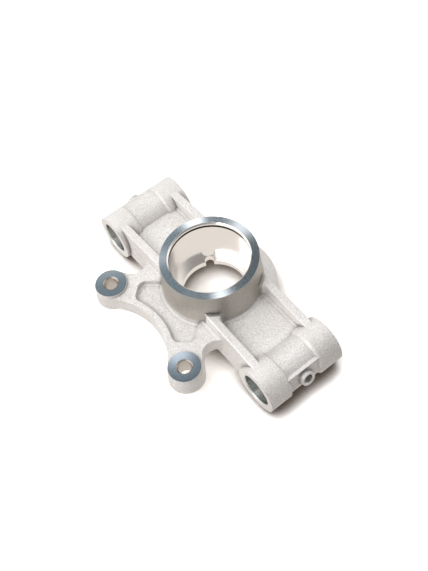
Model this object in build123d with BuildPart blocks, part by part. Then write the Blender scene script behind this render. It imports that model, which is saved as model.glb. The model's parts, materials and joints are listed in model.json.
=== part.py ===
"""Steering knuckle for a light car, cast in aluminium as one piece and then machined.

A ring hub holds a double-row wheel bearing. Two arms reach out from it to sleeves that carry the
pivots of the suspension arms, and a plate on one side carries the brake caliper on two ears.

Millimetres. The origin is on the bearing axis at the shoulder that the bearing's outer ring stops
against. +Z points out of the mouth that the bearing enters, X runs along the line of the two
pivot sleeves, and the caliper ears lie towards -Y.
"""
from build123d import *
from math import acos, atan2, cos, degrees, radians, sin, sqrt, tan
import os

os.makedirs("parts", exist_ok=True)

# Bearing seat, for a 30 x 60 x 37 bearing behind a circlip
bearing_r = 30.0
bearing_length = 37.0
circlip_groove_r = 31.5
circlip_groove_width = 2.15
mouth_land = 2.25
mouth_chamfer = 1.0
shoulder_r = 25.0
shoulder_thickness = 5.0
shoulder_notch_r = 3.6
shoulder_notch_centre_r = 26.3
shoulder_notch_angle = 150.5

# Hub wall: a slightly conical barrel that spreads into a skirt at its foot
hub_face_r = 36.5
hub_face_chamfer = 0.5
barrel_foot_r = 38.8
barrel_foot_z = 11.7
skirt_top_r = 41.5
skirt_top_z = 10.2
skirt_r = 48.6
skirt_edge_z = 4.0
skirt_foot_r = 49.0
barrel_fillet = 2.5
skirt_edge_fillet = 4.0

# Pivot sleeves at the ends of the arms
pivot_spacing = 177.2
sleeve_z = 3.4
sleeve_length = 64.6
collar_r = 18.3
waist_r = 16.4
waist_length = 25.0
pivot_bore_r = 12.5
pivot_bore_chamfer = 0.8

# Flat pad on the outer side of each waist, measured from the sleeve's axis
pad_reach = 14.0
pad_height = 11.9

# Boss for a grease nipple, square to the sleeve's axis and tilted up from the horizontal
nipple_tilt = 14.0
nipple_boss_r = 5.5
nipple_boss_reach = 19.9
nipple_hole_r = 3.5
nipple_hole_chamfer = 0.6

# Arms: two rails on a web, seen in section square to X
rail_setback = 2.5
rail_foot_width = 9.5
trough_floor_z = 11.7
trough_fillet = 2.0
hub_corner_fillet = 3.5
arm_bottom_z = -4.5
rail_root_z = 26.0
rail_end_z = 19.4
rail_edge_fillet = 1.3
arm_draft = 4.6
plate_foot_fillet = 2.5

# Recess under each arm's web
under_recess_start_x = 52.0
under_recess_end_x = 69.0
under_recess_wall = 7.8
under_recess_roof_z = 5.7
under_recess_draft = 6.0
under_recess_corner = 3.0

# Caliper plate. Gaps and reaches are from the arm's outer wall, and depths from the ears towards the hub
plate_top_z = 13.3
plate_bottom_z = 2.0
plate_draft = 5.0
side_cut_x = 52.4
side_cut_gap = 7.5
side_cut_r = 10.6
side_cut_end_angle = 115.0

# Caliper ears
ear_x = 46.6
ear_reach = 31.7
relief_depth = 6.3
ear_r = 12.75
ear_face_r = 12.0
ear_face_z = 15.3
ear_bottom_z = 0.0
ear_bolt_r = 5.0
ear_bolt_chamfer = 1.0

# Shallow pocket in the top of the plate
pocket_floor_z = 9.3
pocket_rim = 4.8
pocket_shoulder_x = 35.2
pocket_shoulder_depth = 18.3
pocket_toe_x = 24.6
pocket_root_x = 17.4
pocket_root_y = -24.0
pocket_corner = 6.5
pocket_draft = 12.0
pocket_floor_fillet = 2.0

# The trough cuts this far into the hub's barrel, and the pocket stays this far off it
barrel_overlap = 0.05

# Faces and edges this close in height are level with each other
same_height = 0.001

# Worked out from the sizes above
hub_face_z = bearing_length + circlip_groove_width + mouth_land
hub_back_z = -shoulder_thickness
pivot_x = pivot_spacing / 2
collar_start_y = waist_length / 2 + collar_r - waist_r

# Half widths of the arm's section, from the sleeve's end inwards
rail_outer_foot_y = sleeve_length / 2 - rail_setback
rail_outer_top_y = rail_outer_foot_y - (rail_root_z - arm_bottom_z) * tan(radians(arm_draft))
trough_half_width = rail_outer_foot_y - rail_foot_width
under_recess_half_width = rail_outer_foot_y - under_recess_wall
plate_root_y = rail_foot_width / 2 - rail_outer_foot_y

# Places on the plate, from the arm's outer wall
ear_y = -rail_outer_foot_y - ear_reach
relief_y = ear_y + relief_depth
pocket_shoulder_y = ear_y + pocket_shoulder_depth
side_cut_y = -rail_outer_foot_y - side_cut_gap
ear_centre = Vector(ear_x, ear_y)
side_cut_centre = Vector(side_cut_x, side_cut_y)


def barrel_r_at(z):
    """Radius of the hub's barrel at a height."""
    return barrel_foot_r + (barrel_foot_z - z) * (barrel_foot_r - hub_face_r) / (hub_face_z - barrel_foot_z)


def at_height(shapes, z):
    """The faces or edges whose middle lies at a height."""
    return shapes.filter_by(lambda shape: abs(shape.center().Z - z) < same_height)


# The relief between the ears is one arc through (0, relief_y) that runs tangent into both ears
relief_r = (ear_x**2 + relief_depth**2 - ear_r**2) / (2 * (ear_r + relief_depth))
relief_centre = Vector(0, relief_y - relief_r)
relief_meets_ear = ear_centre + (relief_centre - ear_centre).normalized() * ear_r

# A straight flank runs tangent from each ear to the round cut beside the arm
ear_to_cut = side_cut_centre - ear_centre
flank_turn = degrees(acos((ear_r + side_cut_r) / ear_to_cut.length))
flank_normal = ear_to_cut.normalized().rotate(Axis.Z, -flank_turn)
flank_at_ear = ear_centre + flank_normal * ear_r
flank_at_cut = side_cut_centre - flank_normal * side_cut_r
side_cut_end = side_cut_centre + Vector(side_cut_r, 0).rotate(Axis.Z, side_cut_end_angle)

# Pocket outline: the toe lies on an arc that leaves an even rim beside the relief
pocket_toe_r = relief_r + pocket_rim
pocket_toe_y = relief_centre.Y + sqrt(pocket_toe_r**2 - pocket_toe_x**2)
pocket_toe_middle = (pocket_toe_x / 2, relief_centre.Y + sqrt(pocket_toe_r**2 - (pocket_toe_x / 2) ** 2))

# The pocket's space: drafted sides, a floor rounded into its walls, and the hub's barrel left standing
with BuildPart() as pocket_space:
    with BuildSketch(Plane.XY.offset(plate_top_z)) as pocket:
        with BuildLine():
            pocket_toe = Vector(pocket_toe_x, pocket_toe_y)
            ThreePointArc((0, relief_y + pocket_rim), pocket_toe_middle, pocket_toe)
            Polyline(
                pocket_toe,
                (pocket_shoulder_x, pocket_shoulder_y),
                (pocket_root_x, pocket_root_y),
                (0, pocket_root_y),
            )
            mirror(about=Plane.YZ)
        make_face()
        corners = pocket.vertices().filter_by(lambda v: abs(v.X) > (pocket_root_x + pocket_toe_x) / 2)
        fillet(corners, pocket_corner)
    extrude(amount=pocket_floor_z - plate_top_z, taper=pocket_draft)
    with BuildSketch(Plane.XZ):
        with BuildLine():
            Polyline(
                (0, pocket_floor_z),
                (barrel_r_at(pocket_floor_z) + barrel_overlap, pocket_floor_z),
                (barrel_r_at(plate_top_z) + barrel_overlap, plate_top_z),
                (0, plate_top_z),
                close=True,
            )
        make_face()
    revolve(axis=Axis.Z, mode=Mode.SUBTRACT)
    fillet(pocket_space.faces().sort_by(Axis.Z)[0].edges(), pocket_floor_fillet)

with BuildPart() as knuckle:
    # Both arms in one run: a block with leaning sides, from sleeve to sleeve
    with BuildSketch(Plane.YZ):
        with BuildLine():
            Polyline(
                (0, arm_bottom_z),
                (rail_outer_foot_y, arm_bottom_z),
                (rail_outer_top_y, rail_root_z),
                (0, rail_root_z),
            )
            mirror(about=Plane.YZ)
        make_face()
    extrude(amount=pivot_x, both=True)

    # A trough in each arm leaves two rails on a web, rounded where the rails run into the hub
    with BuildSketch(Plane.XY.offset(trough_floor_z)) as trough:
        Rectangle(2 * pivot_x, 2 * trough_half_width)
        Circle(barrel_r_at(trough_floor_z) - barrel_overlap, mode=Mode.SUBTRACT)
        hub_corners = trough.vertices().filter_by_position(Axis.X, -barrel_foot_r, barrel_foot_r)
        fillet(hub_corners, hub_corner_fillet)
    extrude(amount=rail_root_z - trough_floor_z, taper=-arm_draft, mode=Mode.SUBTRACT)
    floor_edges = at_height(knuckle.faces(), trough_floor_z).edges()
    fillet(floor_edges - floor_edges.filter_by(Axis.Y), trough_fillet)

    # The rails fall away from the hub towards the sleeves
    with BuildSketch(Plane.XZ):
        with BuildLine():
            Polyline(
                (0, rail_root_z),
                (pivot_x, rail_end_z),
                (pivot_x, rail_root_z),
                (0, rail_root_z),
            )
        make_face()
        mirror(about=Plane.YZ)
    extrude(amount=rail_outer_foot_y, both=True, mode=Mode.SUBTRACT)
    rail_tops = knuckle.faces().filter_by(lambda f: f.normal_at().Z > 0.99 and f.center().Z > rail_end_z)
    rail_ends = rail_tops.edges().filter_by(Axis.Y)
    fillet(rail_tops.edges() - rail_ends, rail_edge_fillet)

    # Recesses below, so that each arm's web is thin
    under_recess_length = under_recess_end_x - under_recess_start_x
    under_recess_x = under_recess_start_x + under_recess_length / 2
    with BuildSketch(Plane.XY.offset(arm_bottom_z)):
        with Locations((-under_recess_x, 0), (under_recess_x, 0)):
            RectangleRounded(under_recess_length, 2 * under_recess_half_width, under_recess_corner)
    extrude(
        amount=under_recess_roof_z - arm_bottom_z,
        taper=under_recess_draft,
        mode=Mode.SUBTRACT,
    )

    # Caliper plate: relief arc, ear, flank and side cut run tangent into each other
    with BuildSketch(Plane.XY.offset(plate_top_z)):
        with BuildLine():
            relief = TangentArc((0, relief_y), relief_meets_ear, tangent=(1, 0))
            TangentArc(relief_meets_ear, flank_at_ear, tangent=relief % 1)
            flank = Line(flank_at_ear, flank_at_cut)
            TangentArc(flank_at_cut, side_cut_end, tangent=flank % 1)
            Polyline(side_cut_end, (side_cut_end.X, plate_root_y), (0, plate_root_y))
            mirror(about=Plane.YZ)
        make_face()
    extrude(amount=plate_bottom_z - plate_top_z, taper=-plate_draft)

    # The rails' outer walls run into the plate in a fillet
    rail_feet = at_height(knuckle.edges().filter_by(Axis.X), plate_top_z)
    fillet(rail_feet.filter_by_position(Axis.Y, -rail_outer_foot_y, plate_root_y), plate_foot_fillet)

    # Ears stand proud of the plate on both sides
    ear_foot_r = ear_r + (plate_top_z - plate_bottom_z) * tan(radians(plate_draft))
    ear_rise_taper = degrees(atan2(ear_r - ear_face_r, ear_face_z - plate_top_z))
    with BuildSketch(Plane.XY.offset(plate_top_z)):
        with Locations((-ear_x, ear_y), (ear_x, ear_y)):
            Circle(ear_r)
    extrude(amount=ear_face_z - plate_top_z, taper=ear_rise_taper)
    with BuildSketch(Plane.XY.offset(plate_bottom_z)):
        with Locations((-ear_x, ear_y), (ear_x, ear_y)):
            Circle(ear_foot_r)
    extrude(amount=ear_bottom_z - plate_bottom_z, taper=-plate_draft)

    # Hub barrel and skirt, solid at first
    with BuildSketch(Plane.XZ) as hub_profile:
        with BuildLine():
            Polyline(
                (0, hub_back_z),
                (skirt_foot_r, hub_back_z),
                (skirt_r, skirt_edge_z),
                (skirt_top_r, skirt_top_z),
                (barrel_foot_r, barrel_foot_z),
                (hub_face_r, hub_face_z),
                (0, hub_face_z),
                (0, hub_back_z),
            )
        make_face()
        corners = hub_profile.vertices()
        fillet(corners.sort_by_distance((barrel_foot_r, barrel_foot_z))[0], barrel_fillet)
        fillet(corners.sort_by_distance((skirt_r, skirt_edge_z))[0], skirt_edge_fillet)
        chamfer(corners.sort_by_distance((hub_face_r, hub_face_z))[0], hub_face_chamfer)
    revolve(axis=Axis.Z)

    # The pocket, sunk into the plate and the skirt up to the barrel
    add(pocket_space.part, mode=Mode.SUBTRACT)

    # Pivot sleeves: two collars and a waist, turned about the pivot's axis
    for side in (-1, 1):
        sleeve_axis = Axis((side * pivot_x, 0, sleeve_z), (0, 1, 0))
        with BuildSketch(Plane.XY.offset(sleeve_z)):
            with BuildLine():
                Polyline(
                    (side * pivot_x, 0),
                    (side * (pivot_x + waist_r), 0),
                    (side * (pivot_x + waist_r), waist_length / 2),
                    (side * (pivot_x + collar_r), collar_start_y),
                    (side * (pivot_x + collar_r), sleeve_length / 2),
                    (side * pivot_x, sleeve_length / 2),
                    close=True,
                )
            make_face()
            mirror(about=Plane.XZ)
        revolve(axis=sleeve_axis)

        # Pad along the outer side of the waist
        with BuildSketch(Plane.XZ):
            with BuildLine():
                Polyline(
                    (side * pivot_x, sleeve_z),
                    (side * (pivot_x + pad_reach), sleeve_z),
                    (side * (pivot_x + pad_reach), sleeve_z + pad_height),
                    (side * pivot_x, sleeve_z + pad_height),
                    close=True,
                )
            make_face()
        extrude(amount=collar_start_y, both=True)

        # Grease-nipple boss, square to the sleeve's wall
        nipple_direction = (side * cos(radians(nipple_tilt)), 0, sin(radians(nipple_tilt)))
        nipple_plane = Plane(origin=(side * pivot_x, 0, sleeve_z), x_dir=(0, 1, 0), z_dir=nipple_direction)
        with BuildSketch(nipple_plane):
            Circle(nipple_boss_r)
        extrude(amount=nipple_boss_reach)
        with Locations(nipple_plane.offset(nipple_boss_reach)):
            CounterSinkHole(
                nipple_hole_r,
                nipple_hole_r + nipple_hole_chamfer,
                depth=nipple_boss_reach,
                counter_sink_angle=90,
            )

        # Bore for the pivot bushes, with a chamfer at each mouth
        with BuildSketch(Plane.XY.offset(sleeve_z)):
            with BuildLine():
                Polyline(
                    (side * pivot_x, 0),
                    (side * (pivot_x + pivot_bore_r), 0),
                    (side * (pivot_x + pivot_bore_r), sleeve_length / 2 - pivot_bore_chamfer),
                    (side * (pivot_x + pivot_bore_r + pivot_bore_chamfer), sleeve_length / 2),
                    (side * pivot_x, sleeve_length / 2),
                    close=True,
                )
            make_face()
            mirror(about=Plane.XZ)
        revolve(axis=sleeve_axis, mode=Mode.SUBTRACT)

    # Bearing seat, circlip groove and shoulder in one turned profile
    with BuildSketch(Plane.XZ):
        with BuildLine():
            Polyline(
                (0, hub_back_z),
                (shoulder_r, hub_back_z),
                (shoulder_r, 0),
                (bearing_r, 0),
                (bearing_r, bearing_length),
                (circlip_groove_r, bearing_length),
                (circlip_groove_r, bearing_length + circlip_groove_width),
                (bearing_r, bearing_length + circlip_groove_width),
                (bearing_r, hub_face_z - mouth_chamfer),
                (bearing_r + mouth_chamfer, hub_face_z),
                (0, hub_face_z),
                close=True,
            )
        make_face()
    revolve(axis=Axis.Z, mode=Mode.SUBTRACT)

    # Half-round notch through the shoulder
    with BuildSketch(Plane.XY.offset(hub_back_z)):
        with PolarLocations(shoulder_notch_centre_r, 1, shoulder_notch_angle):
            Circle(shoulder_notch_r)
    extrude(amount=shoulder_thickness, mode=Mode.SUBTRACT)

    # Caliper bolt holes through the ears
    with Locations((-ear_x, ear_y, ear_face_z), (ear_x, ear_y, ear_face_z)):
        CounterSinkHole(ear_bolt_r, ear_bolt_r + ear_bolt_chamfer)

knuckle.part.label = "knuckle_casting"
export_step(knuckle.part, "parts/knuckle_casting.step")
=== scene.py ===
"""Looks of a cast and machined aluminium steering knuckle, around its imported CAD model."""
import json
from math import cos, pi, radians, sin

import bpy
import numpy as np
from mathutils import Matrix, Vector


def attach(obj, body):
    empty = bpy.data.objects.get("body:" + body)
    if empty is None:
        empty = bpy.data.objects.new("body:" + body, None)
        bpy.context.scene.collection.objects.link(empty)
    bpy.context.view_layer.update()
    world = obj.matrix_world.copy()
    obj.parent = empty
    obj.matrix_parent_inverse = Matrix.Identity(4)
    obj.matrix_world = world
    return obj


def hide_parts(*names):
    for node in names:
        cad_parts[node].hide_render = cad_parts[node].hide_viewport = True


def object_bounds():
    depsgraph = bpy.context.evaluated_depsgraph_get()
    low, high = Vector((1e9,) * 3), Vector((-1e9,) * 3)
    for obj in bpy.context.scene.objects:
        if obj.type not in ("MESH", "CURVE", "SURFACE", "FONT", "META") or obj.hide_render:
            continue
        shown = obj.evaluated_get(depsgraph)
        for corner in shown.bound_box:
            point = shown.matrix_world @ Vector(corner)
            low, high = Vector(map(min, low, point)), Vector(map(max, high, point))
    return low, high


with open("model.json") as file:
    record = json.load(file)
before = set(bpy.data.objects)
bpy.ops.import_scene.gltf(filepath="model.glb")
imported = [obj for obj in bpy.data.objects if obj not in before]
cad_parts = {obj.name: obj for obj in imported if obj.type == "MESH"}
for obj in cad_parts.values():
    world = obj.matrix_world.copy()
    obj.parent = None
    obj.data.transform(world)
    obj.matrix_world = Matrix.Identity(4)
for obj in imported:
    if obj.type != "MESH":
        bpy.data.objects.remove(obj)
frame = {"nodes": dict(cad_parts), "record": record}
cad_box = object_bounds()

MM = 0.001
NODE = "knuckle_casting"

# Real sizes of the casting that the finishes follow, in millimetres, taken from the frame's mounts
mounts = {mount["name"]: mount for mount in frame["record"]["mounts"]}
bearing_r = mounts["bearing_bore"]["dims"]["r_mm"]
bearing_length = mounts["bearing_bore"]["dims"]["length_mm"]
pivot_bore = mounts["pivot_bore_near"]
pivot_bore_r = pivot_bore["dims"]["r_mm"]
pivot_x = pivot_bore["pos_m"][0] / MM
sleeve_z = pivot_bore["pos_m"][2] / MM
caliper_bolts = mounts["caliper_bolts"]
bolt_hole_r = caliper_bolts["dims"]["hole_r_mm"]
ear_x = caliper_bolts["dims"]["spacing_x_mm"] / 2
ear_y = caliper_bolts["pos_m"][1] / MM
nipple_hole = mounts["nipple_hole_near"]
nipple_hole_r = nipple_hole["dims"]["r_mm"]
nipple_axis = nipple_hole["axis"]
nipple_middle = (nipple_hole["pos_m"][0] / MM - pivot_x) / nipple_axis[0]
# Way along the hole's axis from the pivot's axis to the hole's mouth
nipple_mouth = nipple_middle + nipple_hole["dims"]["length_mm"] / 2

# Node settings that recur
RGBA = {"data_type": "RGBA"}
MULTIPLIED = {"data_type": "RGBA", "blend_type": "MULTIPLY"}
SMOOTHSTEP = {"interpolation_type": "SMOOTHSTEP"}
ON_PLAN = (1.0, 1.0, 0.0)


def linear(hex_colour):
    """An sRGB hex colour as the linear RGBA that the shaders take."""
    srgb = np.array([int(hex_colour[i : i + 2], 16) / 255 for i in (1, 3, 5)])
    rgb = np.where(srgb <= 0.04045, srgb / 12.92, ((srgb + 0.055) / 1.055) ** 2.4)
    return (*rgb.tolist(), 1.0)


def add_node(tree, kind, settings=None, **links):
    """Adds a node. settings are its properties.

    links are its sockets, by name or as an underscore and a number, each with a value or another socket.
    """
    node = tree.nodes.new(kind)
    for name, value in (settings or {}).items():
        setattr(node, name, value)
    for name, value in links.items():
        socket = node.inputs[int(name[1:])] if name[1:].isdigit() else node.inputs[name.replace("_", " ")]
        if isinstance(value, bpy.types.NodeSocket):
            tree.links.new(value, socket)
        else:
            socket.default_value = value
    return node


def new_material(name):
    """An empty node material, its Principled shader and its object coordinates."""
    material = bpy.data.materials.new(name)
    material.use_nodes = True
    tree = material.node_tree
    tree.nodes.clear()
    shader = add_node(tree, "ShaderNodeBsdfPrincipled")
    output = add_node(tree, "ShaderNodeOutputMaterial")
    tree.links.new(shader.outputs["BSDF"], output.inputs["Surface"])
    place = add_node(tree, "ShaderNodeTexCoord").outputs["Object"]
    return material, tree, shader, place


def new_object(name, mesh):
    """An object of that mesh, at the origin."""
    made = bpy.data.objects.new(name, mesh)
    bpy.context.scene.collection.objects.link(made)
    return made


# Camera at the photograph's place and angle

CAMERA_MM = (298.330, -170.816, 524.800)
CAMERA_AZIMUTH = -29.78
CAMERA_ELEVATION = 56.63
CAMERA_ROLL = -9.856
FOCAL_PX = 821.355
PHOTO_HEIGHT_PX = 571
SENSOR_MM = 24.0
CLIP_START_M = 0.01


def make_camera():
    """The camera's back comes from azimuth and elevation, and its right and up are rolled about that."""
    az, el, roll = (radians(a) for a in (CAMERA_AZIMUTH, CAMERA_ELEVATION, CAMERA_ROLL))
    back = Vector((cos(el) * cos(az), cos(el) * sin(az), sin(el)))
    level_right = Vector((0, 0, 1)).cross(back).normalized()
    level_up = back.cross(level_right)
    right = level_right * cos(roll) + level_up * sin(roll)
    up = level_up * cos(roll) - level_right * sin(roll)
    data = bpy.data.cameras.new("photo_camera")
    data.sensor_fit = "VERTICAL"
    data.sensor_height = SENSOR_MM
    data.lens = FOCAL_PX / PHOTO_HEIGHT_PX * SENSOR_MM
    data.clip_start = CLIP_START_M
    camera = new_object("photo_camera", data)
    turn = Matrix((right, up, back)).transposed().to_4x4()
    camera.matrix_world = Matrix.Translation(Vector(CAMERA_MM) * MM) @ turn
    bpy.context.scene.camera = camera


make_camera()
bpy.context.scene.view_settings.view_transform = "Standard"


# Finishes

# Blasting leaves dimples of about 0.1 mm, drawn coarser so that they show
GRAIN_MM = 0.8
GRAIN_DEPTH_MM = 0.15
# Faint patches where the metal chilled unevenly
CLOUD_MM = 22
CLOUD_SHARE = 0.15
# Reach of the painted shade that darkens the skin's creases
PAINTED_CREASE_SHADE_MM = 4.5
# The hub's barrel: inside this radius and above this height
BARREL_R_MM = 40
BARREL_R_BLUR_MM = 1
BARREL_FOOT_MM = 12
BARREL_FOOT_BLUR_MM = 3
BARREL_ROUGHNESS = 0.43
BARREL_GRAIN_SHARE = 0.35


def bead_blasted_casting(name, dark, pale, satin_painted_shade):
    """Gravity-cast aluminium, bead blasted: a matte silver skin of fine dimples, with painted shade
    darkening its creases.

    The hub's barrel is the same metal with a smoother satin surface and shallower dimples; its greyer colour
    there is painted shade.
    """
    material, tree, shader, place = new_material(name)
    grain = add_node(
        tree, "ShaderNodeTexNoise", Vector=place, Scale=1 / (GRAIN_MM * MM), Detail=2.0, Roughness=0.7
    ).outputs["Fac"]
    cloud = add_node(tree, "ShaderNodeTexNoise", Vector=place, Scale=1 / (CLOUD_MM * MM), Detail=2.0)
    mixed = add_node(tree, "ShaderNodeMix", _0=CLOUD_SHARE, _2=grain, _3=cloud.outputs["Fac"])
    spread = add_node(
        tree, "ShaderNodeMapRange", Value=mixed.outputs[0], From_Min=0.36, From_Max=0.64
    )
    tone = add_node(
        tree, "ShaderNodeMix", RGBA, _0=spread.outputs["Result"], _6=linear(dark), _7=linear(pale)
    )
    # Painted shade: ambient occlusion darkens the skin's colour in creases
    open_share = add_node(tree, "ShaderNodeAmbientOcclusion", {"samples": 8}, Distance=PAINTED_CREASE_SHADE_MM * MM)
    painted_crease_shade = add_node(
        tree, "ShaderNodeMapRange", Value=open_share.outputs["AO"],
        From_Min=0.4, From_Max=0.92, To_Min=0.3, To_Max=1.0,
    )
    skin = add_node(
        tree, "ShaderNodeMix", MULTIPLIED, _0=1.0, _6=tone.outputs[2], _7=painted_crease_shade.outputs["Result"]
    )

    level = add_node(tree, "ShaderNodeVectorMath", {"operation": "MULTIPLY"}, _0=place, _1=ON_PLAN)
    radius = add_node(tree, "ShaderNodeVectorMath", {"operation": "LENGTH"}, _0=level.outputs[0])
    height = add_node(tree, "ShaderNodeSeparateXYZ", Vector=place)
    inside = add_node(
        tree, "ShaderNodeMapRange", Value=radius.outputs["Value"],
        From_Min=(BARREL_R_MM + BARREL_R_BLUR_MM / 2) * MM,
        From_Max=(BARREL_R_MM - BARREL_R_BLUR_MM / 2) * MM,
    )
    above = add_node(
        tree, "ShaderNodeMapRange", Value=height.outputs["Z"],
        From_Min=BARREL_FOOT_MM * MM, From_Max=(BARREL_FOOT_MM + BARREL_FOOT_BLUR_MM) * MM,
    )
    satin = add_node(
        tree, "ShaderNodeMath", {"operation": "MULTIPLY"},
        _0=inside.outputs["Result"], _1=above.outputs["Result"],
    ).outputs[0]

    # Painted shade: the barrel's colour is multiplied greyer
    colour = add_node(
        tree, "ShaderNodeMix", MULTIPLIED, _0=satin, _6=skin.outputs[2], _7=linear(satin_painted_shade)
    )
    dimples = add_node(
        tree, "ShaderNodeMapRange", Value=grain, From_Min=0.3, From_Max=0.7, To_Min=0.6, To_Max=0.74
    )
    roughness = add_node(
        tree, "ShaderNodeMix", _0=satin, _2=dimples.outputs["Result"], _3=BARREL_ROUGHNESS
    )
    metallic = add_node(tree, "ShaderNodeMapRange", Value=satin, To_Min=0.75, To_Max=1.0)
    depth = add_node(tree, "ShaderNodeMapRange", Value=satin, To_Min=1.0, To_Max=BARREL_GRAIN_SHARE)
    relief = add_node(
        tree, "ShaderNodeMath", {"operation": "MULTIPLY"}, _0=grain, _1=depth.outputs["Result"]
    )
    bump = add_node(
        tree, "ShaderNodeBump", Strength=0.8, Distance=GRAIN_DEPTH_MM * MM, Height=relief.outputs[0]
    )
    tree.links.new(colour.outputs[2], shader.inputs["Base Color"])
    tree.links.new(roughness.outputs[0], shader.inputs["Roughness"])
    tree.links.new(metallic.outputs["Result"], shader.inputs["Metallic"])
    tree.links.new(bump.outputs["Normal"], shader.inputs["Normal"])
    return material


ALONG_Y = (0.0, 1.0, 0.0)


def turned_aluminium(name, centre_mm, across, colour, roughness, anisotropy):
    """Faced, turned or reamed aluminium: near-mirror metal whose fine tool marks stretch each highlight.

    Tangent = (place - centre) * across, normalised: outwards on a faced ring, along the axis in a bore.
    """
    material, tree, shader, place = new_material(name)
    centre = tuple(c * MM for c in centre_mm)
    off = add_node(tree, "ShaderNodeVectorMath", {"operation": "SUBTRACT"}, _0=place, _1=centre)
    flat = add_node(
        tree, "ShaderNodeVectorMath", {"operation": "MULTIPLY"}, _0=off.outputs[0], _1=across
    )
    tangent = add_node(tree, "ShaderNodeVectorMath", {"operation": "NORMALIZE"}, _0=flat.outputs[0])
    shader.inputs["Base Color"].default_value = linear(colour)
    shader.inputs["Metallic"].default_value = 1.0
    shader.inputs["Roughness"].default_value = roughness
    shader.inputs["Anisotropic"].default_value = anisotropy
    tree.links.new(tangent.outputs[0], shader.inputs["Tangent"])
    return material


TOOL_MARK_MM = 1.5
TOOL_MARK_DEPTH_MM = 0.05


def plain_machined(name, colour, roughness):
    """Bored or milled aluminium: bright, with slight uneven tool marks, drawn coarser than the real ones."""
    material, tree, shader, place = new_material(name)
    marks = add_node(
        tree, "ShaderNodeTexNoise", Vector=place, Scale=1 / (TOOL_MARK_MM * MM), Detail=2.0
    )
    bump = add_node(
        tree, "ShaderNodeBump",
        Strength=0.15, Distance=TOOL_MARK_DEPTH_MM * MM, Height=marks.outputs["Fac"],
    )
    shader.inputs["Base Color"].default_value = linear(colour)
    shader.inputs["Metallic"].default_value = 1.0
    shader.inputs["Roughness"].default_value = roughness
    tree.links.new(bump.outputs["Normal"], shader.inputs["Normal"])
    return material


# The casting: a welded copy of the CAD solid, with each machined surface in its own finish

SMOOTH_ANGLE = radians(30)
WELD_DIGITS = 6
TINY = 1e-15
# How far past a hole's wall, and before its start, a face still belongs to it
WALL_SLACK_MM = 0.02
HOLE_START_SLACK_MM = 1


def nipple_place(centre_mm):
    """Each point's way along the nearer nipple hole's axis, from the pivot's axis, and its way off it."""
    x, y, z = centre_mm.T
    out, up = np.abs(x) - pivot_x, z - sleeve_z
    along = out * nipple_axis[0] + up * nipple_axis[2]
    across = up * nipple_axis[0] - out * nipple_axis[2]
    return along, np.hypot(across, y)


def welded_copy(name):
    """The CAD node's triangles on shared corners: those that agree to a thousandth of a millimetre are one.

    The plain walls of the two grease nipple holes are left out, because their threads take that place.
    """
    mesh = frame["nodes"][NODE].data
    corners = np.empty(len(mesh.vertices) * 3)
    mesh.vertices.foreach_get("co", corners)
    loops = np.empty(len(mesh.loops), np.int64)
    mesh.loops.foreach_get("vertex_index", loops)
    shared, where = np.unique(corners.reshape(-1, 3).round(WELD_DIGITS), axis=0, return_inverse=True)
    faces = where.ravel()[loops].reshape(-1, 3)
    whole = (faces != np.roll(faces, 1, axis=1)).all(axis=1)
    along, off = nipple_place(shared[faces].mean(axis=1) / MM)
    in_hole = (along > pivot_bore_r - HOLE_START_SLACK_MM) & (along < nipple_mouth + WALL_SLACK_MM)
    hole_wall = in_hole & (off < nipple_hole_r + WALL_SLACK_MM)
    welded = bpy.data.meshes.new(name)
    welded.from_pydata(shared, [], faces[whole & ~hole_wall])
    welded.update()
    return new_object(name, welded)


def smooth_normals(mesh):
    """Each corner's normal is the mean of the faces around its vertex that share its finish and its turn.

    They lie within SMOOTH_ANGLE of its own face. The mean is weighted by face area times corner angle, so
    flat faces stay flat and turned ones turn evenly.
    """
    finish = np.empty(len(mesh.polygons), np.int32)
    mesh.polygons.foreach_get("material_index", finish)
    points = np.empty(len(mesh.vertices) * 3)
    mesh.vertices.foreach_get("co", points)
    vertex = np.empty(len(mesh.loops), np.int64)
    mesh.loops.foreach_get("vertex_index", vertex)
    tri = points.reshape(-1, 3)[vertex.reshape(-1, 3)]
    to_next = np.roll(tri, -1, axis=1) - tri
    to_last = np.roll(tri, 1, axis=1) - tri
    cross = np.cross(to_next[:, 0], to_last[:, 0])
    area = np.linalg.norm(cross, axis=1)
    normal = cross / np.maximum(area, TINY)[:, None]
    lengths = np.linalg.norm(to_next, axis=2) * np.linalg.norm(to_last, axis=2)
    turn = np.arccos(np.clip((to_next * to_last).sum(axis=2) / np.maximum(lengths, TINY), -1, 1))
    weight = (area[:, None] * turn).ravel()
    # Every pair of corners that meet at one vertex
    face = np.arange(len(vertex)) // 3
    order = np.argsort(vertex, kind="stable")
    first = np.searchsorted(vertex[order], vertex)
    count = np.bincount(vertex)[vertex]
    mine = np.repeat(np.arange(len(vertex)), count)
    step = np.arange(len(mine)) - np.repeat(np.cumsum(count) - count, count)
    other = order[np.repeat(first, count) + step]
    near = (normal[face[mine]] * normal[face[other]]).sum(axis=1) > cos(SMOOTH_ANGLE)
    near &= finish[face[mine]] == finish[face[other]]
    share = normal[face[other]] * (weight[other] * near)[:, None]
    total = np.stack([np.bincount(mine, share[:, k], len(vertex)) for k in range(3)], axis=1)
    total /= np.maximum(np.linalg.norm(total, axis=1), TINY)[:, None]
    mesh.polygons.foreach_set("use_smooth", np.ones(len(mesh.polygons), bool))
    mesh.normals_split_custom_set(total)


def face_places(mesh):
    """Centres in millimetres and normals of all faces, as arrays."""
    centres = np.empty(len(mesh.polygons) * 3)
    normals = np.empty(len(mesh.polygons) * 3)
    mesh.polygons.foreach_get("center", centres)
    mesh.polygons.foreach_get("normal", normals)
    return centres.reshape(-1, 3) / MM, normals.reshape(-1, 3)


# Bounds that pick out each machined surface, a little wider than the surface itself
FLAT_MM = 0.01
LEVEL_NORMAL = 0.99
HUB_FACE_REACH_MM = 8
GROOVE_REACH_MM = 1.6
GROOVE_START_MM = 0.05
GROOVE_BELOW_FACE_MM = 2
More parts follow.
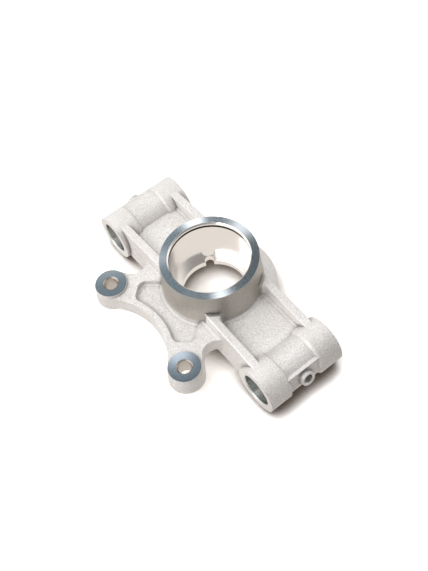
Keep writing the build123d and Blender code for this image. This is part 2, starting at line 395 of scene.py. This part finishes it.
# The hub's back, just below this, keeps the cast skin
SEAT_FOOT_Z_MM = -4.9
EAR_REACH_MM = 14
BOLT_CHAMFER_REACH_MM = 1.05
PIVOT_CHAMFER_REACH_MM = 1
NIPPLE_BOSS_REACH_MM = 6.5
NIPPLE_END_REACH_MM = 0.6


def dress_casting(piece):
    """Each face takes the finish of the machined surface it lies on, and the rest keeps the cast skin."""
    mesh = piece.data
    centre, normal = face_places(mesh)
    x, y, z = centre.T
    hub_r = np.hypot(x, y)
    pivot_r = np.hypot(np.abs(x) - pivot_x, z - sleeve_z)
    ear_r = np.hypot(np.abs(x) - ear_x, y - ear_y)
    nipple_way, nipple_off = nipple_place(centre)
    on_hub = hub_r < bearing_r + HUB_FACE_REACH_MM
    hub_face_z = z[on_hub].max()
    ear_face_z = z[(y < ear_y) & (np.abs(normal[:, 2]) > LEVEL_NORMAL)].max()
    sleeve_end_y = np.abs(y)[np.abs(x) > pivot_x + pivot_bore_r].max()
    on_nipple_boss = nipple_off < NIPPLE_BOSS_REACH_MM
    nipple_end = nipple_way[on_nipple_boss].max()
    in_seat = hub_r < bearing_r + GROOVE_REACH_MM
    past_seat = hub_r > bearing_r + GROOVE_START_MM
    groove_height = (z > bearing_length - FLAT_MM) & (z < hub_face_z - GROOVE_BELOW_FACE_MM)
    ear_face = (z > ear_face_z - FLAT_MM) & (ear_r < EAR_REACH_MM)
    sleeve_end = np.abs(np.abs(y) - sleeve_end_y) < FLAT_MM
    finishes = [
        ("cast", np.ones(len(x), bool)),
        ("hub_face", (z > hub_face_z - FLAT_MM) & on_hub),
        ("seat", in_seat & (z > SEAT_FOOT_Z_MM)),
        ("groove", in_seat & past_seat & groove_height),
        ("ear_near_painted_shade", (x > 0) & ear_face),
        ("ear_far", (x < 0) & ear_face),
        ("drilled", ear_r < bolt_hole_r + BOLT_CHAMFER_REACH_MM),
        ("milled", sleeve_end & (pivot_r < 2 * pivot_bore_r)),
        ("bored", pivot_r < pivot_bore_r + PIVOT_CHAMFER_REACH_MM),
        ("milled", on_nipple_boss & (nipple_way > nipple_end - NIPPLE_END_REACH_MM)),
    ]
    near_ear = (ear_x, ear_y, 0)
    far_ear = (-ear_x, ear_y, 0)
    hub = (0, 0, 0)
    materials = {
        # Matte silver skin with painted shade in its creases, smoother on the barrel, where its greyer
        # colour is painted shade
        "cast": bead_blasted_casting("bead_blasted_cast_aluminium_painted_shade", "#d2ccc7", "#f7f6f5", "#cbcac5"),
        # Fine rings, each reflection drawn out into a streak towards the rim
        "hub_face": turned_aluminium("turned_hub_face", hub, ON_PLAN, "#dde1e5", 0.1, 0.8),
        # Clean bright bore with a soft mirror image of the ground
        "seat": plain_machined("bored_bearing_seat", "#f5f1ed", 0.2),
        # Slate mirrors with hardly a streak; the near ear's darker, bluer colour is painted shade
        "ear_near_painted_shade": turned_aluminium("spot_faced_near_ear_painted_shade", near_ear, ON_PLAN, "#bfc9d2", 0.09, 0.3),
        "ear_far": turned_aluminium("spot_faced_far_ear", far_ear, ON_PLAN, "#d3d8da", 0.09, 0.3),
        # Painted shade: a dark line, because little light reaches into it
        "groove": plain_machined("circlip_groove_painted_shade", "#5c5954", 0.5),
        # Duller than a bore, from the drill
        "drilled": plain_machined("drilled_aluminium", "#cfc8c0", 0.35),
        # The brightest plain faces
        "milled": plain_machined("milled_sleeve_ends", "#f6f5f3", 0.35),
        # Bright stripes along the bore
        "bored": turned_aluminium("reamed_pivot_bores", hub, ALONG_Y, "#eceeec", 0.22, 0.9),
    }
    mesh.materials.clear()
    for material in materials.values():
        mesh.materials.append(material)
    order = list(materials)
    index = np.zeros(len(x), np.int32)
    for name, where in finishes:
        index[where] = order.index(name)
    mesh.polygons.foreach_set("material_index", index)
    smooth_normals(mesh)


casting = welded_copy("machined_casting")
dress_casting(casting)
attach(casting, "root")
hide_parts(NODE)


# Threads of the grease nipple holes

THREAD_PITCH_MM = 1.25
THREAD_DEPTH_MM = 0.5
PAST_MOUTH_MM = 0.1
STEPS_A_TURN = 48
STEPS_A_PITCH = 10


def tapped_thread(name, side):
    """A V thread cut outwards from one grease nipple hole, on the hole's axis; side is 1 near and -1 far.

    Radius = hole radius + depth * (1 - |2 * fraction(way / pitch - turn) - 1|), where the way along the axis
    runs from the pivot bore's wall, at sqrt(bore radius squared - y squared), to the hole's mouth.
    """
    axis = np.array([side * nipple_axis[0], 0.0, nipple_axis[2]])
    level = np.array([0.0, 1.0, 0.0])
    steep = np.cross(axis, level)
    rows = int((nipple_mouth - pivot_bore_r) / THREAD_PITCH_MM * STEPS_A_PITCH)
    row_shares = np.linspace(0, 1, rows)
    turn_shares = np.linspace(0, 1, STEPS_A_TURN, endpoint=False)
    share, turn = np.meshgrid(row_shares, turn_shares, indexing="ij")
    angle = 2 * pi * turn
    start = np.sqrt(pivot_bore_r**2 - (nipple_hole_r * np.cos(angle)) ** 2)
    along = start + share * (nipple_mouth + PAST_MOUTH_MM - start)
    crest = 1 - np.abs(2 * ((along / THREAD_PITCH_MM - turn) % 1) - 1)
    radius = nipple_hole_r + THREAD_DEPTH_MM * crest
    points = (
        np.array([side * pivot_x, 0.0, sleeve_z])
        + along[..., None] * axis
        + radius[..., None] * (np.cos(angle)[..., None] * level + np.sin(angle)[..., None] * steep)
    )
    here = np.arange(rows * STEPS_A_TURN).reshape(rows, STEPS_A_TURN)
    beside = np.roll(here, -1, axis=1)
    faces = np.stack([here[:-1], here[1:], beside[1:], beside[:-1]], axis=-1).reshape(-1, 4)
    mesh = bpy.data.meshes.new(name)
    mesh.from_pydata(points.reshape(-1, 3) * MM, [], faces)
    return new_object(name, mesh)


# Cut metal in a narrow hole: grey as painted shade, with a glint on each crest
thread_metal_painted_shade = plain_machined("tapped_aluminium_thread_painted_shade", "#9a958d", 0.22)
for place, side in (("near", 1), ("far", -1)):
    thread = tapped_thread(f"nipple_thread_{place}", side)
    thread.data.materials.append(thread_metal_painted_shade)
    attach(thread, "root")


# White ground that keeps the casting's shadow, with painted contact shadow added

FLOOR_HALF_M = 3.0
PAINTED_CONTACT_SHADOW_MM = 17
# The camera's side is open and dim, and the paper's glow in metal's mirror is painted dimmer there too
OPEN_SIDE_AZIMUTH = -8
OPEN_FLOOR_START_MM = 60
OPEN_FLOOR_END_MM = 160
OPEN_FLOOR_SHARE = 0.5


def way(azimuth):
    """Level unit vector at that azimuth in degrees."""
    return cos(radians(azimuth)), sin(radians(azimuth)), 0.0


def make_stage(overexposure, mirrored_level):
    """White paper: over-exposed to the camera, with painted contact shadow from ambient occlusion as well as
    its real shadow, and near white in metal's mirror.
    """
    floor_z = cad_box[0][2]
    half = FLOOR_HALF_M
    mesh = bpy.data.meshes.new("floor")
    square = ((-half, -half), (half, -half), (half, half), (-half, half))
    mesh.from_pydata([(x, y, floor_z) for x, y in square], [], [(0, 1, 2, 3)])
    floor = new_object("floor", mesh)
    material = bpy.data.materials.new("white_paper_floor")
    material.use_nodes = True
    tree = material.node_tree
    tree.nodes.clear()
    path = add_node(tree, "ShaderNodeLightPath").outputs
    # Painted contact shadow: ambient occlusion darkens the paper's colour near the casting
    near = add_node(tree, "ShaderNodeAmbientOcclusion", {"samples": 12}, Distance=PAINTED_CONTACT_SHADOW_MM * MM)
    painted_contact_shadow = add_node(
        tree, "ShaderNodeMapRange", SMOOTHSTEP, Value=near.outputs["AO"], From_Min=0.42, From_Max=1.0
    )
    painted_shadow_colour, lit = (tuple(overexposure * c for c in linear(colour)) for colour in ("#5b524b", "#fffdfb"))
    tint = add_node(tree, "ShaderNodeMix", RGBA, _0=painted_contact_shadow.outputs["Result"], _6=painted_shadow_colour, _7=lit)
    paper = add_node(tree, "ShaderNodeBsdfDiffuse", Color=linear("#e4e2e0"))
    place = add_node(tree, "ShaderNodeTexCoord").outputs["Object"]
    to_open = add_node(
        tree, "ShaderNodeVectorMath", {"operation": "DOT_PRODUCT"}, _0=place, _1=way(OPEN_SIDE_AZIMUTH)
    )
    painted_open_side_dimming = add_node(
        tree, "ShaderNodeMapRange", SMOOTHSTEP, Value=to_open.outputs["Value"],
        From_Min=OPEN_FLOOR_START_MM * MM, From_Max=OPEN_FLOOR_END_MM * MM,
        To_Min=mirrored_level, To_Max=OPEN_FLOOR_SHARE * mirrored_level,
    )
    mirrored = add_node(
        tree, "ShaderNodeEmission", Color=linear("#fff9f3"), Strength=painted_open_side_dimming.outputs["Result"]
    )
    seen = add_node(tree, "ShaderNodeBsdfDiffuse", Color=tint.outputs[2])
    others = add_node(
        tree, "ShaderNodeMixShader", _0=path["Is Glossy Ray"], _1=paper.outputs[0], _2=mirrored.outputs[0]
    )
    mix = add_node(
        tree, "ShaderNodeMixShader", _0=path["Is Camera Ray"], _1=others.outputs[0], _2=seen.outputs[0]
    )
    output = add_node(tree, "ShaderNodeOutputMaterial")
    tree.links.new(mix.outputs[0], output.inputs["Surface"])
    mesh.materials.append(material)


# Light: a white tent, open and dim on the camera's side, with a slate window and soft boxes in it

OPEN_SIDE_RISE = 0.25
OPEN_SIDE_START = 0.15
OPEN_SIDE_END = 0.75
# A level face here, a little above the hub's, mirrors the middle of the soft boxes into the camera
BOXES_MIDDLE_MM = (0, 0, 48)
# A small lamp shows at the near ear's inner edge
EAR_LAMP_SHOWS_MM = (ear_x - 16, ear_y + 5, 14)
EAR_LAMP_RADIUS = 0.019
EAR_LAMP_BLUR = 0.004
EAR_LAMP_LEVEL = 1.6
# The window's middle and size, on the plan of a unit sky
WINDOW_PLAN = (-0.495, 0.245, 0.0)
WINDOW_RADIUS = 0.16
WINDOW_BLUR = 0.06
DARK_END_BEARING = 35
DARK_END_BLUR = 0.12
# Soft boxes across the window: bearing and half width in degrees about their middle, and level
SOFT_BOXES = [(84, 11, 1.6), (168, 17, 2.2), (238, 6, 0.6), (338, 10, 1.9)]
BOX_BLUR = 8


def mirror_plan(place_mm):
    """Plan position, on a unit sky, of what a level face at that place mirrors into the camera."""
    to_camera = Vector(CAMERA_MM) - Vector(place_mm)
    return -to_camera.x / to_camera.length, -to_camera.y / to_camera.length, 0.0


def make_world(tent, dim, slate_light, slate_dark):
    """The tent's level falls smoothly to the open side, and the window and its boxes are set into it.

    On the plan of the sky the window is a disc, each soft box a wedge of bearings and the ear's lamp a disc.
    """
    world = bpy.data.worlds.new("white_studio")
    bpy.context.scene.world = world
    world.use_nodes = True
    tree = world.node_tree
    tree.nodes.clear()
    direction = add_node(tree, "ShaderNodeTexCoord").outputs["Generated"]
    plan = add_node(
        tree, "ShaderNodeVectorMath", {"operation": "MULTIPLY"}, _0=direction, _1=ON_PLAN
    ).outputs[0]

    open_way = Vector(way(OPEN_SIDE_AZIMUTH)) + Vector((0, 0, OPEN_SIDE_RISE))
    along = add_node(
        tree, "ShaderNodeVectorMath", {"operation": "DOT_PRODUCT"}, _0=direction, _1=open_way
    )
    dome = add_node(
        tree, "ShaderNodeMapRange", SMOOTHSTEP, Value=along.outputs["Value"],
        From_Min=OPEN_SIDE_START, From_Max=OPEN_SIDE_END, To_Min=tent, To_Max=dim,
    )

    from_middle = add_node(
        tree, "ShaderNodeVectorMath", {"operation": "SUBTRACT"}, _0=plan, _1=mirror_plan(BOXES_MIDDLE_MM)
    ).outputs[0]
    parts = add_node(tree, "ShaderNodeSeparateXYZ", Vector=from_middle).outputs
    bearing = add_node(
        tree, "ShaderNodeMath", {"operation": "ARCTAN2"}, _0=parts["Y"], _1=parts["X"]
    ).outputs[0]
    boxes = 0.0
    for middle, half_width, level in SOFT_BOXES:
        turned = add_node(
            tree, "ShaderNodeMath", {"operation": "SUBTRACT"}, _0=bearing, _1=radians(middle)
        )
        wrapped = add_node(
            tree, "ShaderNodeMath", {"operation": "WRAP"}, _0=turned.outputs[0], _1=pi, _2=-pi
        )
        off = add_node(tree, "ShaderNodeMath", {"operation": "ABSOLUTE"}, _0=wrapped.outputs[0])
        lit = add_node(
            tree, "ShaderNodeMapRange", SMOOTHSTEP, Value=off.outputs[0], To_Min=level, To_Max=0.0,
            From_Min=radians(half_width - BOX_BLUR / 2), From_Max=radians(half_width + BOX_BLUR / 2),
        )
        boxes = add_node(
            tree, "ShaderNodeMath", {"operation": "ADD"}, _0=boxes, _1=lit.outputs["Result"]
        ).outputs[0]

    lamp_off = add_node(
        tree, "ShaderNodeVectorMath", {"operation": "DISTANCE"}, _0=plan, _1=mirror_plan(EAR_LAMP_SHOWS_MM)
    )
    lamp = add_node(
        tree, "ShaderNodeMapRange", SMOOTHSTEP, Value=lamp_off.outputs["Value"],
        From_Min=EAR_LAMP_RADIUS - EAR_LAMP_BLUR / 2, From_Max=EAR_LAMP_RADIUS + EAR_LAMP_BLUR / 2,
        To_Min=EAR_LAMP_LEVEL, To_Max=0.0,
    )
    lights = add_node(tree, "ShaderNodeMath", {"operation": "ADD"}, _0=boxes, _1=lamp.outputs["Result"])

    across = add_node(
        tree, "ShaderNodeVectorMath", {"operation": "DOT_PRODUCT"}, _0=from_middle, _1=way(DARK_END_BEARING)
    )
    dark_share = add_node(
        tree, "ShaderNodeMapRange", SMOOTHSTEP, Value=across.outputs["Value"],
        From_Min=-DARK_END_BLUR / 2, From_Max=DARK_END_BLUR / 2,
    )
    slate = add_node(
        tree, "ShaderNodeMix", RGBA,
        _0=dark_share.outputs["Result"], _6=linear(slate_light), _7=linear(slate_dark),
    )
    window = add_node(
        tree, "ShaderNodeMix", {"data_type": "RGBA", "blend_type": "ADD"},
        _0=1.0, _6=slate.outputs[2], _7=lights.outputs[0],
    )
    window_off = add_node(
        tree, "ShaderNodeVectorMath", {"operation": "DISTANCE"}, _0=plan, _1=WINDOW_PLAN
    )
    outside = add_node(
        tree, "ShaderNodeMapRange", SMOOTHSTEP, Value=window_off.outputs["Value"],
        From_Min=WINDOW_RADIUS - WINDOW_BLUR / 2, From_Max=WINDOW_RADIUS + WINDOW_BLUR / 2,
    )
    sky = add_node(
        tree, "ShaderNodeMix", RGBA,
        _0=outside.outputs["Result"], _6=window.outputs[2], _7=dome.outputs["Result"],
    )

    path = add_node(tree, "ShaderNodeLightPath").outputs
    light = add_node(tree, "ShaderNodeBackground", Color=sky.outputs[2])
    seen = add_node(tree, "ShaderNodeBackground", Color=linear("#ffffff"))
    mix = add_node(
        tree, "ShaderNodeMixShader", _0=path["Is Camera Ray"], _1=light.outputs[0], _2=seen.outputs[0]
    )
    output = add_node(tree, "ShaderNodeOutputWorld")
    tree.links.new(mix.outputs[0], output.inputs["Surface"])


def soft_box(name, azimuth, elevation, distance, size, power):
    """A square white area lamp that looks at the origin from there."""
    level = cos(radians(elevation)) * Vector(way(azimuth))
    place = distance * (level + Vector((0, 0, sin(radians(elevation)))))
    data = bpy.data.lights.new(name, "AREA")
    data.shape = "SQUARE"
    data.size = size
    data.energy = power
    lamp = new_object(name, data)
    lamp.location = place
    lamp.rotation_euler = place.to_track_quat("Z", "Y").to_euler()


make_stage(overexposure=1.75, mirrored_level=0.86)
soft_box("left_soft_box", azimuth=-88, elevation=50, distance=1.1, size=0.7, power=6.0)
make_world(tent=1.14, dim=0.33, slate_light="#75858d", slate_dark="#34424a")
